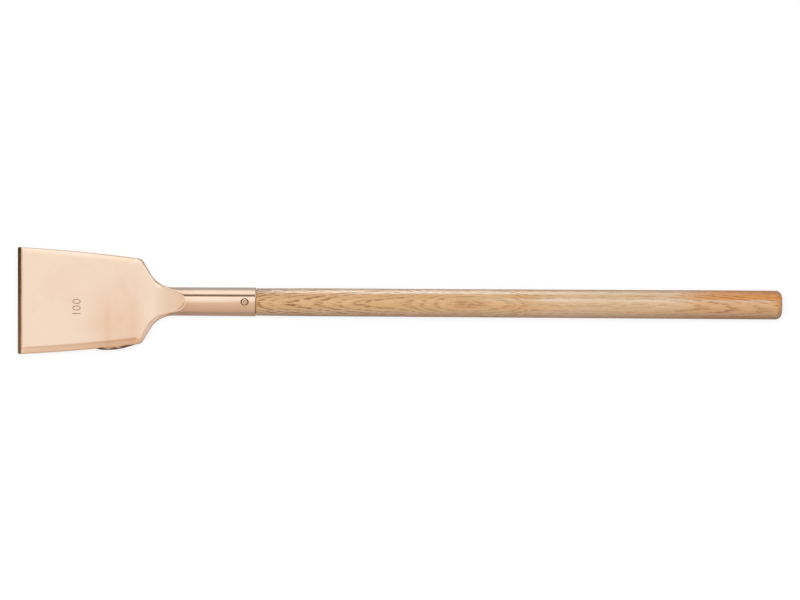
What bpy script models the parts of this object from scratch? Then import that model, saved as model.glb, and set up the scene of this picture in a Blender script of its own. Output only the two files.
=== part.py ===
# Non-sparking scraper: a copper-alloy head with a wooden handle pinned into its socket.
#
# The tool lies along X with its cutting edge at -X and the bevelled face up. The world origin is
# on the floor, under the middle of the tool. All the pieces are children of one empty, which
# stands at the middle of the cutting edge, on the axis of the socket and the handle. In that
# frame x is the distance behind the cutting edge and z is the height over the axis.

import math

import bmesh
import bpy
import numpy as np
from mathutils import Matrix, Vector

# Driving dimensions, in metres. The head is a chain of lengths from the cutting edge to the
# mouth of the socket, and the handle's shaft takes up the rest of the overall length.
OVERALL_LENGTH = 0.713
BLADE_LENGTH = 0.1158
SHOULDER_LENGTH = 0.0159
RAMP_LENGTH = 0.0236
SOCKET_LENGTH = 0.0671

# Plan of the blade and its shoulders.
BLADE_WIDTH = 0.1
SHOULDER_WIDTH = 0.0793
SIDE_BOW = 0.002
SIDE_BOW_RADIUS = 1.5
FRONT_CORNER_RADIUS = 0.0014
SHOULDER_RADIUS = 0.0065
NECK_HOLLOW_RADIUS = 0.0245

# Side view of the blade: heights of its face and its back over and under the parting plane.
FACE_FRONT_HEIGHT = 0.0013
FACE_REAR_HEIGHT = 0.0026
BACK_HEIGHT = 0.0023
RAMP_HOLLOW_RADIUS = 0.05

# Edges of the blade: a sloping band round the face and the back, and the ground cutting bevel.
SIDE_BAND_WIDTH = 0.006
SHOULDER_BAND_WIDTH = 0.0037
EDGE_HEIGHT_SHARE = 0.52
EDGE_ROUND_RADIUS = 0.004
BEVEL_LENGTH = 0.0041
CUTTING_EDGE_THICKNESS = 0.0004

# Stub of the casting gate on the blade's -Y side, from its rear foot forward.
GATE_SETBACK = 0.0053
GATE_REAR_SLOPE_LENGTH = 0.019
GATE_CREST_LENGTH = 0.016
GATE_FRONT_SLOPE_LENGTH = 0.003
GATE_HEIGHT = 0.0021
GATE_THICKNESS = 0.0026
GATE_ROOT_DEPTH = 0.006
GATE_FOOT_DEPTH = 0.0003
GATE_FRONT_RADIUS = 0.002
GATE_REAR_RADIUS = 0.03

# Socket, outside and inside. Its bore stops short of the ramps' tops.
SOCKET_MOUTH_RADIUS = 0.01345
SOCKET_TAPER = 0.0003
SOCKET_WALL = 0.0032
SOCKET_LIP = 0.0006
BORE_SETBACK = 0.0071
BORE_MOUTH_CHAMFER = 0.0008
DRILL_POINT_ANGLE = math.radians(118)

# Handle: how far its shaft is set in at the socket, and how far it swells out from there.
SHAFT_NECK_STEP = 0.0008
SHAFT_NECK_CHAMFER = 0.0005
SHAFT_FRONT_SWELL = 0.00035
SHAFT_MIDDLE_SWELL = 0.00057
SHAFT_REAR_SWELL = 0.00075
SHAFT_FRONT_SHARE = 0.1
SHAFT_MIDDLE_SHARE = 0.57
SHAFT_REAR_SHARE = 0.86
SHAFT_BLEND_RADIUS = 0.5
SHAFT_END_RADIUS = 0.0064
SHAFT_END_DOME = 0.0011
SHAFT_END_FLAT_SHARE = 0.5
TENON_CHAMFER = 0.0015

# Fixing pin, through the socket and the tenon.
PIN_SETBACK = 0.0102
PIN_RADIUS = 0.0027
PIN_END_ROUND = 0.0005
PIN_END_SETBACK = 0.00015
PIN_MARK_RADIUS = 0.00135
PIN_MARK_DEPTH = 0.0005
PIN_HOLE_CHAMFER = 0.0008

# Clearances between pieces, and the length by which every cutter runs past what it cuts.
SEAT_CLEARANCE = 0.0003
TENON_END_CLEARANCE = 0.002
OVERRUN = 0.004

# Fineness of the meshes.
CORNER_STEPS = 6
HOLLOW_STEPS = 9
RAMP_STEPS = 7
TURNED_STEPS = 32
STATION_GAP = 0.0004
MERGE_DISTANCE = 0.000005
SHARP_ANGLE = math.radians(28)

# Finishes: linear colour, roughness and metallic value.
BRONZE = ((0.78, 0.52, 0.34), 0.22, 1.0)
PIN_BRONZE = ((0.7, 0.46, 0.27), 0.3, 1.0)
OILED_WOOD = ((0.62, 0.36, 0.17), 0.42, 0.0)

# Places, as distances behind the cutting edge, and fits, worked out from the sizes above.
NECK_PLACE = BLADE_LENGTH + SHOULDER_LENGTH
RAMP_TOP_PLACE = NECK_PLACE + RAMP_LENGTH
SOCKET_MOUTH_PLACE = RAMP_TOP_PLACE + SOCKET_LENGTH
GATE_REAR_PLACE = BLADE_LENGTH - GATE_SETBACK
GATE_CREST_REAR_PLACE = GATE_REAR_PLACE - GATE_REAR_SLOPE_LENGTH
GATE_CREST_FRONT_PLACE = GATE_CREST_REAR_PLACE - GATE_CREST_LENGTH
GATE_FRONT_PLACE = GATE_CREST_FRONT_PLACE - GATE_FRONT_SLOPE_LENGTH
SOCKET_NECK_RADIUS = SOCKET_MOUTH_RADIUS - SOCKET_TAPER
BORE_RADIUS = SOCKET_MOUTH_RADIUS - SOCKET_WALL
BORE_DEPTH = SOCKET_LENGTH - BORE_SETBACK
TENON_RADIUS = BORE_RADIUS - SEAT_CLEARANCE
TENON_LENGTH = BORE_DEPTH - TENON_END_CLEARANCE
SHAFT_NECK_RADIUS = SOCKET_MOUTH_RADIUS - SHAFT_NECK_STEP
SHAFT_REAR_RADIUS = SHAFT_NECK_RADIUS + SHAFT_REAR_SWELL
PIN_PLACE = SOCKET_MOUTH_PLACE - PIN_SETBACK
PIN_HOLE_RADIUS = PIN_RADIUS + SEAT_CLEARANCE
AXIS_HEIGHT = max(SOCKET_MOUTH_RADIUS, SHAFT_REAR_RADIUS)

# Which points end the hollow arcs on the head's paths: two more follow each of them.
NECK_END_POINT = -3
RAMP_START_POINT = -3

# Turn that lays a piece's own Z along the tool.
ALONG_TOOL = (0, math.radians(90), 0)


# Scene, collections and materials

def clear_scene():
    for item in list(bpy.data.objects):
        bpy.data.objects.remove(item, do_unlink=True)


def new_collection(name):
    collection = bpy.data.collections.new(name)
    bpy.context.scene.collection.children.link(collection)
    return collection


def new_material(name, colour, roughness, metallic):
    material = bpy.data.materials.new(name)
    material.use_nodes = True
    material.diffuse_color = (*colour, 1.0)
    shader = material.node_tree.nodes["Principled BSDF"]
    shader.inputs["Base Color"].default_value = (*colour, 1.0)
    shader.inputs["Roughness"].default_value = roughness
    shader.inputs["Metallic"].default_value = metallic
    return material


def place(item, collection, parent, location=(0, 0, 0), rotation=(0, 0, 0)):
    collection.objects.link(item)
    item.parent = parent
    item.location = location
    item.rotation_euler = rotation
    return item


def finish_mesh(shape, name):
    mesh = bpy.data.meshes.new(name)
    bmesh.ops.remove_doubles(shape, verts=shape.verts, dist=MERGE_DISTANCE)
    bmesh.ops.recalc_face_normals(shape, faces=shape.faces)
    shape.to_mesh(mesh)
    shape.free()
    mesh.shade_smooth()
    mesh.set_sharp_from_angle(angle=SHARP_ANGLE)
    return mesh


def make_guide(item):
    item.hide_render = True
    item.display_type = 'WIRE'
    return item


def combine(target, other, operation):
    step = target.modifiers.new(other.name, 'BOOLEAN')
    step.operation = operation
    step.solver = 'EXACT'
    step.object = other


# Paths with rounded corners

def rounded_path(corners, steps):
    """Points along a line of (x, y, radius) corners, each inner corner rounded by an arc.

    An arc that has no room on its two straights is made smaller to fit them.
    """
    places = [Vector(corner[:2]) for corner in corners]
    runs = [after - before for before, after in zip(places, places[1:])]
    turns = [0.0] + [before.angle_signed(after) for before, after in zip(runs, runs[1:])] + [0.0]
    reaches = [corner[2] * math.tan(abs(turn) / 2) for corner, turn in zip(corners, turns)]
    for index, run in enumerate(runs):
        total = reaches[index] + reaches[index + 1]
        if total > run.length:
            reaches[index] *= run.length / total
            reaches[index + 1] *= run.length / total
    points = [places[0]]
    for index in range(1, len(places) - 1):
        if reaches[index] == 0:
            points.append(places[index])
            continue
        start = places[index] - runs[index - 1].normalized() * reaches[index]
        radius = reaches[index] / math.tan(abs(turns[index]) / 2)
        side = math.copysign(1, turns[index])
        across = Vector((runs[index - 1].y, -runs[index - 1].x)).normalized() * side
        centre = start + across * radius
        for step in range(steps + 1):
            turn = -turns[index] * step / steps
            points.append(centre + Matrix.Rotation(turn, 2) @ (start - centre))
    points.append(places[-1])
    return points


def height_on(path, x):
    return float(np.interp(x, [point.x for point in path], [point.y for point in path]))


# Head: a loft along X whose sections change from a flat blade to a round socket

def socket_radius(x):
    places = [NECK_PLACE, SOCKET_MOUTH_PLACE - SOCKET_LIP, SOCKET_MOUTH_PLACE]
    radii = [SOCKET_NECK_RADIUS, SOCKET_MOUTH_RADIUS, SOCKET_MOUTH_RADIUS - SOCKET_LIP]
    return float(np.interp(x, places, radii))


def head_plan():
    """Half widths of the head seen from above, from the cutting edge to the socket's mouth."""
    middle_width = (BLADE_WIDTH + SHOULDER_WIDTH) / 2
    corners = [
        (0, BLADE_WIDTH / 2 - FRONT_CORNER_RADIUS, 0),
        (0, BLADE_WIDTH / 2, FRONT_CORNER_RADIUS),
        (BLADE_LENGTH / 2, middle_width / 2 + SIDE_BOW, SIDE_BOW_RADIUS),
        (BLADE_LENGTH, SHOULDER_WIDTH / 2, SHOULDER_RADIUS),
        (NECK_PLACE, SOCKET_NECK_RADIUS, NECK_HOLLOW_RADIUS),
        (SOCKET_MOUTH_PLACE - SOCKET_LIP, SOCKET_MOUTH_RADIUS, 0),
        (SOCKET_MOUTH_PLACE, SOCKET_MOUTH_RADIUS - SOCKET_LIP, 0),
    ]
    return rounded_path(corners, CORNER_STEPS)


def ramp_profile(front_height, rear_height):
    """Heights of the face or the back over the parting plane, up its ramp to the socket's top."""
    corners = [
        (0, front_height, 0),
        (NECK_PLACE, rear_height, RAMP_HOLLOW_RADIUS),
        (RAMP_TOP_PLACE, socket_radius(RAMP_TOP_PLACE), 0),
        (SOCKET_MOUTH_PLACE, SOCKET_MOUTH_RADIUS + OVERRUN, 0),
    ]
    return rounded_path(corners, HOLLOW_STEPS)


def section_places(plan, profiles):
    """Places of the loft's sections: each point of the paths, and more where the ramps end."""
    places = {point.x for path in (plan, *profiles) for point in path}
    for profile in profiles:
        ramp_start = profile[RAMP_START_POINT].x
        for step in range(1, RAMP_STEPS):
            to_go_share = (1 - step / RAMP_STEPS) ** 2
            places.add(RAMP_TOP_PLACE + (ramp_start - RAMP_TOP_PLACE) * to_go_share)
    backwards = sorted(places, reverse=True)
    chosen = backwards[:1]
    for x in backwards:
        if chosen[-1] - x > STATION_GAP and (x > STATION_GAP or x == 0):
            chosen.append(x)
    return chosen[::-1]


def smooth_step(share):
    share = min(max(share, 0.0), 1.0)
    return share * share * (3 - 2 * share)


def mix(first, second, share):
    return first + (second - first) * share


def band_width(x, plan):
    """Width across the tool of the band that slopes from the flat of the blade to its edge."""
    toward_shoulder = smooth_step((x - BLADE_LENGTH) / SHOULDER_RADIUS + 1)
    width = mix(SIDE_BAND_WIDTH, SHOULDER_BAND_WIDTH, toward_shoulder)
    fall = (height_on(plan, x) - height_on(plan, x + STATION_GAP)) / STATION_GAP
    return width * math.hypot(1, max(fall, 0.0))


def edge_curve(x, plan, height):
    """Points (inset from the outline, height) from the parting plane up to the flat."""
    radius = socket_radius(x)
    flat_angle = math.asin(min(height / radius, 1.0))
    round_inset = radius * (1 - math.cos(flat_angle))
    neck_end = plan[NECK_END_POINT].x
    roundness = smooth_step((x - NECK_PLACE) / (neck_end - NECK_PLACE))
    inset = mix(band_width(x, plan), round_inset, roundness)
    edge_height = height * EDGE_HEIGHT_SHARE
    corners = [(0, 0, 0), (0, edge_height, EDGE_ROUND_RADIUS), (-inset, height, 0)]
    blade_edge = rounded_path(corners, CORNER_STEPS)
    points = []
    for index, point in enumerate(blade_edge):
        angle = flat_angle * index / (len(blade_edge) - 1)
        share_in = (1 - math.cos(angle)) / (1 - math.cos(flat_angle))
        share_up = math.sin(angle) / math.sin(flat_angle)
        socket_edge = Vector((-inset * share_in, height * share_up))
        points.append(point.lerp(socket_edge, roundness))
    return points


def section_ring(x, plan, face, back):
    half_width = height_on(plan, x)
    upper = edge_curve(x, plan, min(height_on(face, x), socket_radius(x)))
    lower = edge_curve(x, plan, min(height_on(back, x), socket_radius(x)))
    ring = [(x, half_width + point.x, point.y) for point in upper]
    ring += [(x, -half_width - point.x, point.y) for point in reversed(upper)]
    ring += [(x, -half_width - point.x, -point.y) for point in lower[1:]]
    ring += [(x, half_width + point.x, -point.y) for point in reversed(lower[1:])]
    return ring


def head_loft():
    plan = head_plan()
    face = ramp_profile(FACE_FRONT_HEIGHT, FACE_REAR_HEIGHT)
    back = ramp_profile(BACK_HEIGHT, BACK_HEIGHT)
    shape = bmesh.new()
    rings = []
    for x in section_places(plan, (face, back)):
        rings.append([shape.verts.new(point) for point in section_ring(x, plan, face, back)])
    shape.faces.new(rings[0])
    shape.faces.new(rings[-1])
    for before, after in zip(rings, rings[1:]):
        for index, corner in enumerate(before):
            shape.faces.new((before[index - 1], corner, after[index], after[index - 1]))
    return finish_mesh(shape, "head_loft")


def gate_stub(collection, parent):
    """Stub of the casting gate: a thin pad on the side of the blade, ground parallel to X."""
    plan = head_plan()
    front_side = height_on(plan, GATE_FRONT_PLACE)
    rear_side = height_on(plan, GATE_REAR_PLACE)
    reach = height_on(plan, GATE_CREST_FRONT_PLACE) + GATE_HEIGHT
    corners = [
        (GATE_FRONT_PLACE, GATE_ROOT_DEPTH - front_side, 0),
        (GATE_FRONT_PLACE, GATE_FOOT_DEPTH - front_side, 0),
        (GATE_CREST_FRONT_PLACE, -reach, GATE_FRONT_RADIUS),
        (GATE_CREST_REAR_PLACE, -reach, GATE_REAR_RADIUS),
        (GATE_REAR_PLACE, GATE_FOOT_DEPTH - rear_side, 0),
        (GATE_REAR_PLACE, GATE_ROOT_DEPTH - rear_side, 0),
    ]
    outline = rounded_path(corners, CORNER_STEPS)
    curve = bpy.data.curves.new("gate_outline", 'CURVE')
    curve.dimensions = '2D'
    curve.fill_mode = 'BOTH'
    curve.extrude = GATE_THICKNESS / 2
    spline = curve.splines.new('POLY')
    spline.points.add(len(outline) - 1)
    for point, corner in zip(spline.points, outline):
        point.co = (corner.x, corner.y, 0, 1)
    spline.use_cyclic_u = True
    return place(mesh_of_curve(curve, "gate_stub"), collection, parent)


def mesh_of_curve(curve, name):
    sketch = bpy.data.objects.new(name + "_outline", curve)
    bpy.context.scene.collection.objects.link(sketch)
    graph = bpy.context.evaluated_depsgraph_get()
    mesh = bpy.data.meshes.new_from_object(sketch.evaluated_get(graph))
    shape = bmesh.new()
    shape.from_mesh(mesh)
    bpy.data.objects.remove(sketch, do_unlink=True)
    bpy.data.meshes.remove(mesh)
    return bpy.data.objects.new(name, finish_mesh(shape, name))


def bevel_grinder(collection, parent):
    """Box whose underside is the bevel ground on the face, behind the cutting edge."""
    face = ramp_profile(FACE_FRONT_HEIGHT, FACE_REAR_HEIGHT)
    edge = Vector((0, CUTTING_EDGE_THICKNESS - BACK_HEIGHT))
    top = Vector((BEVEL_LENGTH, height_on(face, BEVEL_LENGTH)))
    run = top - edge
    size = (run.length + 2 * OVERRUN, BLADE_WIDTH + 2 * OVERRUN, OVERRUN)
    shape = bmesh.new()
    bmesh.ops.create_cube(shape, size=1, matrix=Matrix.Diagonal((*size, 1)))
    bmesh.ops.translate(shape, verts=shape.verts, vec=(0, 0, OVERRUN / 2))
    grinder = bpy.data.objects.new("bevel_grinder", finish_mesh(shape, "bevel_grinder"))
    middle = (edge + top) / 2
    slope = math.atan2(run.y, run.x)
    return place(grinder, collection, parent, (middle.x, 0, middle.y), (0, -slope, 0))


def turned(name, outline):
    """Solid turned about its own Z from (place on Z, radius) points, lowest first."""
    mesh = bpy.data.meshes.new(name)
    points = [(point.y, 0, point.x) for point in reversed(outline)]
    edges = [(index, index + 1) for index in range(len(points) - 1)]
    mesh.from_pydata(points, edges, [])
    item = bpy.data.objects.new(name, mesh)
    screw = item.modifiers.new("turn", 'SCREW')
    screw.axis = 'Z'
    screw.steps = TURNED_STEPS
    screw.render_steps = TURNED_STEPS
    screw.use_merge_vertices = True
    screw.merge_threshold = MERGE_DISTANCE
    screw.use_smooth_shade = True
    return item


def socket_drill(collection, parent):
    """Blind bore of the socket, with a drill point and a chamfered mouth."""
    point_length = BORE_RADIUS / math.tan(DRILL_POINT_ANGLE / 2)
    flare = BORE_RADIUS + BORE_MOUTH_CHAMFER + OVERRUN
    outline = rounded_path([
        (-BORE_DEPTH - point_length, 0, 0),
        (-BORE_DEPTH, BORE_RADIUS, 0),
        (-BORE_MOUTH_CHAMFER, BORE_RADIUS, 0),
        (OVERRUN, flare, 0),
        (OVERRUN, 0, 0),
    ], CORNER_STEPS)
    drill = turned("socket_drill", outline)
    return place(drill, collection, parent, (SOCKET_MOUTH_PLACE, 0, 0), ALONG_TOOL)


def pin_drill(collection, parent):
    """Cross hole for the pin, with a chamfer where it breaks through the socket."""
    shoulder = socket_radius(PIN_PLACE) - PIN_HOLE_CHAMFER
    reach = socket_radius(PIN_PLACE) + OVERRUN
    flare = PIN_HOLE_RADIUS + PIN_HOLE_CHAMFER + OVERRUN
    outline = rounded_path([
        (-reach, 0, 0),
        (-reach, flare, 0),
        (-shoulder, PIN_HOLE_RADIUS, 0),
        (shoulder, PIN_HOLE_RADIUS, 0),
        (reach, flare, 0),
        (reach, 0, 0),
    ], CORNER_STEPS)
    return place(turned("pin_drill", outline), collection, parent, (PIN_PLACE, 0, 0))


def make_head(tool, cutters, parent):
    head = bpy.data.objects.new("scraper_head", head_loft())
    place(head, tool, parent)
    head.data.materials.append(new_material("polished_bronze", *BRONZE))
    combine(head, make_guide(gate_stub(cutters, parent)), 'UNION')
    combine(head, make_guide(bevel_grinder(cutters, parent)), 'DIFFERENCE')
    combine(head, make_guide(socket_drill(cutters, parent)), 'DIFFERENCE')
    return head


# Handle: a turned stick with a tenon for the socket

def make_handle(tool, parent):
    length = OVERALL_LENGTH - SOCKET_MOUTH_PLACE - SEAT_CLEARANCE
    tenon = TENON_LENGTH + SEAT_CLEARANCE
    outline = rounded_path([
        (-tenon, 0, 0),
        (-tenon, TENON_RADIUS - TENON_CHAMFER, 0),
        (TENON_CHAMFER - tenon, TENON_RADIUS, 0),
        (0, TENON_RADIUS, 0),
        (0, SHAFT_NECK_RADIUS - SHAFT_NECK_CHAMFER, 0),
        (SHAFT_NECK_CHAMFER, SHAFT_NECK_RADIUS, 0),
        (length * SHAFT_FRONT_SHARE, SHAFT_NECK_RADIUS + SHAFT_FRONT_SWELL, SHAFT_BLEND_RADIUS),
        (length * SHAFT_MIDDLE_SHARE, SHAFT_NECK_RADIUS + SHAFT_MIDDLE_SWELL, SHAFT_BLEND_RADIUS),
        (length * SHAFT_REAR_SHARE, SHAFT_REAR_RADIUS, SHAFT_BLEND_RADIUS),
        (length - SHAFT_END_DOME, SHAFT_REAR_RADIUS, SHAFT_END_RADIUS),
        (length, SHAFT_REAR_RADIUS * SHAFT_END_FLAT_SHARE, SHAFT_END_RADIUS),
        (length, 0, 0),
    ], CORNER_STEPS)
    handle = turned("handle", outline)
    shoulder_place = SOCKET_MOUTH_PLACE + SEAT_CLEARANCE
    place(handle, tool, parent, (shoulder_place, 0, 0), ALONG_TOOL)
    handle.data.materials.append(new_material("oiled_wood", *OILED_WOOD))
    return handle


# Fixing pin: straight, with rounded ends and a centre mark in each

def make_pin(tool, parent):
    half = socket_radius(PIN_PLACE) - PIN_END_SETBACK
    outline = rounded_path([
        (PIN_MARK_DEPTH - half, 0, 0),
        (-half, PIN_MARK_RADIUS, 0),
        (-half, PIN_RADIUS, PIN_END_ROUND),
        (half, PIN_RADIUS, PIN_END_ROUND),
        (half, PIN_MARK_RADIUS, 0),
        (half - PIN_MARK_DEPTH, 0, 0),
    ], CORNER_STEPS)
    pin = place(turned("fixing_pin", outline), tool, parent, (PIN_PLACE, 0, 0))
    pin.data.materials.append(new_material("pin_bronze", *PIN_BRONZE))
    return pin


def main():
    clear_scene()
    tool = new_collection("non_sparking_scraper")
    cutters = new_collection("cutters")
    axis = place(bpy.data.objects.new("tool_axis", None), tool, None,
                 (-OVERALL_LENGTH / 2, 0, AXIS_HEIGHT))
    head = make_head(tool, cutters, axis)
    handle = make_handle(tool, axis)
    make_pin(tool, axis)
    cross_hole = make_guide(pin_drill(cutters, axis))
    combine(head, cross_hole, 'DIFFERENCE')
    combine(handle, cross_hole, 'DIFFERENCE')


main()
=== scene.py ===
import math

import bmesh
import bpy
from mathutils import Matrix, Vector


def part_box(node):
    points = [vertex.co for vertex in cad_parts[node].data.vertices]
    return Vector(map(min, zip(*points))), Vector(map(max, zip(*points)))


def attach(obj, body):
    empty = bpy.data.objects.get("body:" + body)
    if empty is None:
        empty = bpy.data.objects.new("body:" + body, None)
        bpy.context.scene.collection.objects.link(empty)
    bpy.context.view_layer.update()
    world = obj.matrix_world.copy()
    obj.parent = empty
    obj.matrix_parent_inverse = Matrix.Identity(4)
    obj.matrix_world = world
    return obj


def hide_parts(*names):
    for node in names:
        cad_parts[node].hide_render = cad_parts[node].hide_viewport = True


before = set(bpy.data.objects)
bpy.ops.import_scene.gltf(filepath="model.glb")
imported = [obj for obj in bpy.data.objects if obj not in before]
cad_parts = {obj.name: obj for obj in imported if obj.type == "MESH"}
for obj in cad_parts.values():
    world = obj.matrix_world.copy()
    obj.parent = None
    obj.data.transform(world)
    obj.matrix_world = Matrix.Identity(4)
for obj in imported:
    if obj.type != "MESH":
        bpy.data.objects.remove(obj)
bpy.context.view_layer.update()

# The tool lies along X, cutting edge at -X, bevelled face up. What follows is worked out from the frame.
headLow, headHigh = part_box("scraper_head")
handleLow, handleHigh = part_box("handle")
pinLow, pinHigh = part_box("fixing_pin")
edgeX = headLow.x                                # cutting edge
mouthX = headHigh.x                              # mouth of the socket
buttX = handleHigh.x                             # end of the handle
axisZ = (headLow.z + headHigh.z) / 2             # height of the socket's and the handle's axis
socketRadius = (headHigh.z - headLow.z) / 2
pinX = (pinLow.x + pinHigh.x) / 2
pinRadius = (pinHigh.x - pinLow.x) / 2
mouthCentre = Vector((mouthX, 0, axisZ))
pinCentre = Vector((pinX, 0, axisZ))
rearward, upward = Vector((1, 0, 0)), Vector((0, 0, 1))

tolerance = {
    "onPlane": 0.0000002,                        # how near to a cutting plane a vertex counts as on it
    "facing": 0.9999, "inPlane": 0.000005,       # how nearly a face points as a plane does, and lies in it
    "bevelFacing": 0.99995, "inBevel": 0.00001,
    "level": 0.00001,                            # height between the ends of an edge that counts as level
    "tip": 0.0001,                               # radius at which a cone's tip is closed
    "creaseAngle": math.radians(30),             # an edge that turns more stays sharp
}


# Small tools for modelling

def deselectAll():
    if bpy.context.object and bpy.context.object.mode != 'OBJECT':
        bpy.ops.object.mode_set(mode='OBJECT')
    bpy.ops.object.select_all(action='DESELECT')


def makeActive(piece):
    deselectAll()
    piece.select_set(True)
    bpy.context.view_layer.objects.active = piece


def nameNew(name):
    piece = bpy.context.object
    piece.name = name
    piece.data.name = name
    return piece


def applyPlace(piece):
    makeActive(piece)
    bpy.ops.object.transform_apply(location=True, rotation=True, scale=True)


def editPiece(piece, kind='VERT', action='SELECT'):
    makeActive(piece)
    bpy.ops.object.mode_set(mode='EDIT')
    bpy.ops.mesh.select_mode(type=kind)
    bpy.ops.mesh.select_all(action=action)


# Selects the faces or edges that pass the test, in edit mode, and says how many there are.
def pick(piece, test, kind='faces'):
    cage = bmesh.from_edit_mesh(piece.data)
    parts = getattr(cage, kind)
    for part in parts:
        part.select_set(bool(test(part)))
    if kind == 'faces':
        cage.select_flush_mode()
    bmesh.update_edit_mesh(piece.data)
    return sum(part.select for part in parts)


def giveMaterials(piece, *names):
    piece.data.materials.clear()
    for name in names:
        piece.data.materials.append(bpy.data.materials[name])


def paintPicked(piece, slotNumber):
    piece.active_material_index = slotNumber
    bpy.ops.object.material_slot_assign()


def liesIn(face, place, outward, facing=tolerance["facing"], near=tolerance["inPlane"]):
    return face.normal.dot(outward) > facing and abs((face.calc_center_median() - place).dot(outward)) < near


# Joins another solid to a piece, or cuts it out, and keeps the other's materials where it shows.
def combine(piece, other, operation, solver='EXACT'):
    makeActive(piece)
    bpy.ops.object.modifier_add(type='BOOLEAN')
    step = piece.modifiers[-1]
    step.operation = operation
    step.object = other
    step.solver = solver
    step.material_mode = 'TRANSFER'
    bpy.ops.object.modifier_apply(modifier=step.name)
    bpy.data.objects.remove(other, do_unlink=True)


def weld(piece, distance):
    editPiece(piece)
    bpy.ops.mesh.remove_doubles(threshold=distance)
    bpy.ops.mesh.normals_make_consistent(inside=False)
    makeActive(piece)


def weldAndSmooth(piece, distance, creaseAngle=tolerance["creaseAngle"]):
    weld(piece, distance)
    bpy.ops.object.shade_smooth_by_angle(angle=creaseAngle)


# Points along a line of (x, y, radius) corners, with an arc at each inner corner that has a radius.
def roundedPath(corners, steps):
    places = [Vector(corner[:2]) for corner in corners]
    runs = [after - before for before, after in zip(places, places[1:])]
    turns = [0.0] + [before.angle_signed(after) for before, after in zip(runs, runs[1:])] + [0.0]
    reaches = [corner[2] * math.tan(abs(turn) / 2) for corner, turn in zip(corners, turns)]
    for index, run in enumerate(runs):
        wanted = reaches[index] + reaches[index + 1]
        if wanted > run.length:
            reaches[index] *= run.length / wanted
            reaches[index + 1] *= run.length / wanted
    points = [places[0]]
    for index in range(1, len(places) - 1):
        if reaches[index] == 0:
            points.append(places[index])
            continue
        start = places[index] - runs[index - 1].normalized() * reaches[index]
        radius = reaches[index] / math.tan(abs(turns[index]) / 2)
        side = math.copysign(1, turns[index])
        centre = start + Vector((runs[index - 1].y, -runs[index - 1].x)).normalized() * side * radius
        for step in range(steps + 1):
            turn = -turns[index] * step / steps
            points.append(centre + Matrix.Rotation(turn, 2) @ (start - centre))
    return points + [places[-1]]


def heightOn(path, x):
    if x <= path[0].x:
        return path[0].y
    for before, after in zip(path, path[1:]):
        if before.x <= x <= after.x and after.x > before.x:
            return before.y + (after.y - before.y) * (x - before.x) / (after.x - before.x)
    return path[-1].y


def smoothStep(share):
    share = min(max(share, 0.0), 1.0)
    return share * share * (3 - 2 * share)


def mix(first, second, share):
    return first + (second - first) * share


# Extrudes what is selected along an axis and scales it, for each (place, radius) after the first.
def drawAlong(profile, start, along):
    place, radius = profile[0]
    for nextPlace, nextRadius in profile[1:]:
        bpy.ops.mesh.extrude_region_move(TRANSFORM_OT_translate={"value": along * (nextPlace - place)})
        grow = nextRadius / radius
        bpy.ops.transform.resize(value=[1 if part else grow for part in along],
                                 center_override=start + along * nextPlace)
        place, radius = nextPlace, nextRadius


# Turned solid: a circle, drawn along X through the (place, radius) of its profile, or both ways along Z
def turnOnAxis(name, profile, shape, start, along, *materials):
    if along.z:
        profile = [(-place, radius) for place, radius in reversed(profile)] + profile
    place, radius = profile[0]
    deselectAll()
    bpy.ops.mesh.primitive_circle_add(vertices=shape["sides"], radius=radius, fill_type='NGON',
                                      location=start + along * place,
                                      rotation=(0, math.radians(90) if along.x else 0, 0))
    piece = nameNew(name)
    applyPlace(piece)
    editPiece(piece)
    drawAlong(profile, start, along)
    giveMaterials(piece, *materials)
    weldAndSmooth(piece, shape["weld"], shape.get("creaseAngle", tolerance["creaseAngle"]))
    print("%s turned: %d faces" % (name, len(piece.data.polygons)))
    return piece


# Small tools for materials

# Links a socket to another, or gives it a value.
def feed(socket, value):
    if isinstance(value, bpy.types.NodeSocket):
        socket.id_data.links.new(value, socket)
    else:
        socket.default_value = value


def addNode(tree, kind, inputs=None, **settings):
    item = tree.nodes.new(kind)
    for key, value in settings.items():
        setattr(item, key, value)
    for key, value in (inputs or {}).items():
        feed(item.inputs[key], value)
    return item


def math2(operation, first, second=0.0, third=0.0, clamp=False):
    return addNode(first.id_data, 'ShaderNodeMath', {0: first, 1: second, 2: third},
                   operation=operation, use_clamp=clamp).outputs[0]


def product(first, *others):
    for other in others:
        first = math2('MULTIPLY', first, other)
    return first


def total(first, *others, clamp=False):
    for other in others:
        first = math2('ADD', first, other, clamp=clamp)
    return first


def scaled(value, factor, offset):
    return math2('MULTIPLY_ADD', value, factor, offset)


def lengthOf(first, second):
    return math2('SQRT', total(product(first, first), product(second, second)))


# Smooth step of a value from low to high.
def fade(value, low, high, outLow=0.0, outHigh=1.0):
    return addNode(value.id_data, 'ShaderNodeMapRange',
                   {"Value": value, "From Min": low, "From Max": high, "To Min": outLow, "To Max": outHigh},
                   interpolation_type='SMOOTHSTEP').outputs["Result"]


def awayFrom(value, middle):
    return math2('ABSOLUTE', math2('SUBTRACT', value, middle))


# Masks by name. A mask's rows add up, and the fades in a row multiply. A fade is what it follows, where it
# starts and ends, and its first and last value, where they aren't 0 and 1.
def makeMasks(look, follows):
    for name, (what, middle) in look["middles"].items():
        follows[name] = awayFrom(follows[what], middle)
    return {name: total(*[product(*[fade(follows[what], *values) for what, *values in row]) for row in rows],
                        clamp=True)
            for name, rows in look["masks"].items()}


def blend(share, first, second):
    item = addNode(share.id_data, 'ShaderNodeMix', data_type='RGBA')
    colourInputs = [socket for socket in item.inputs if socket.type == 'RGBA']
    for socket, value in zip([item.inputs[0], *colourInputs], (share, first, second)):
        feed(socket, value)
    return next(socket for socket in item.outputs if socket.type == 'RGBA')


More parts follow.
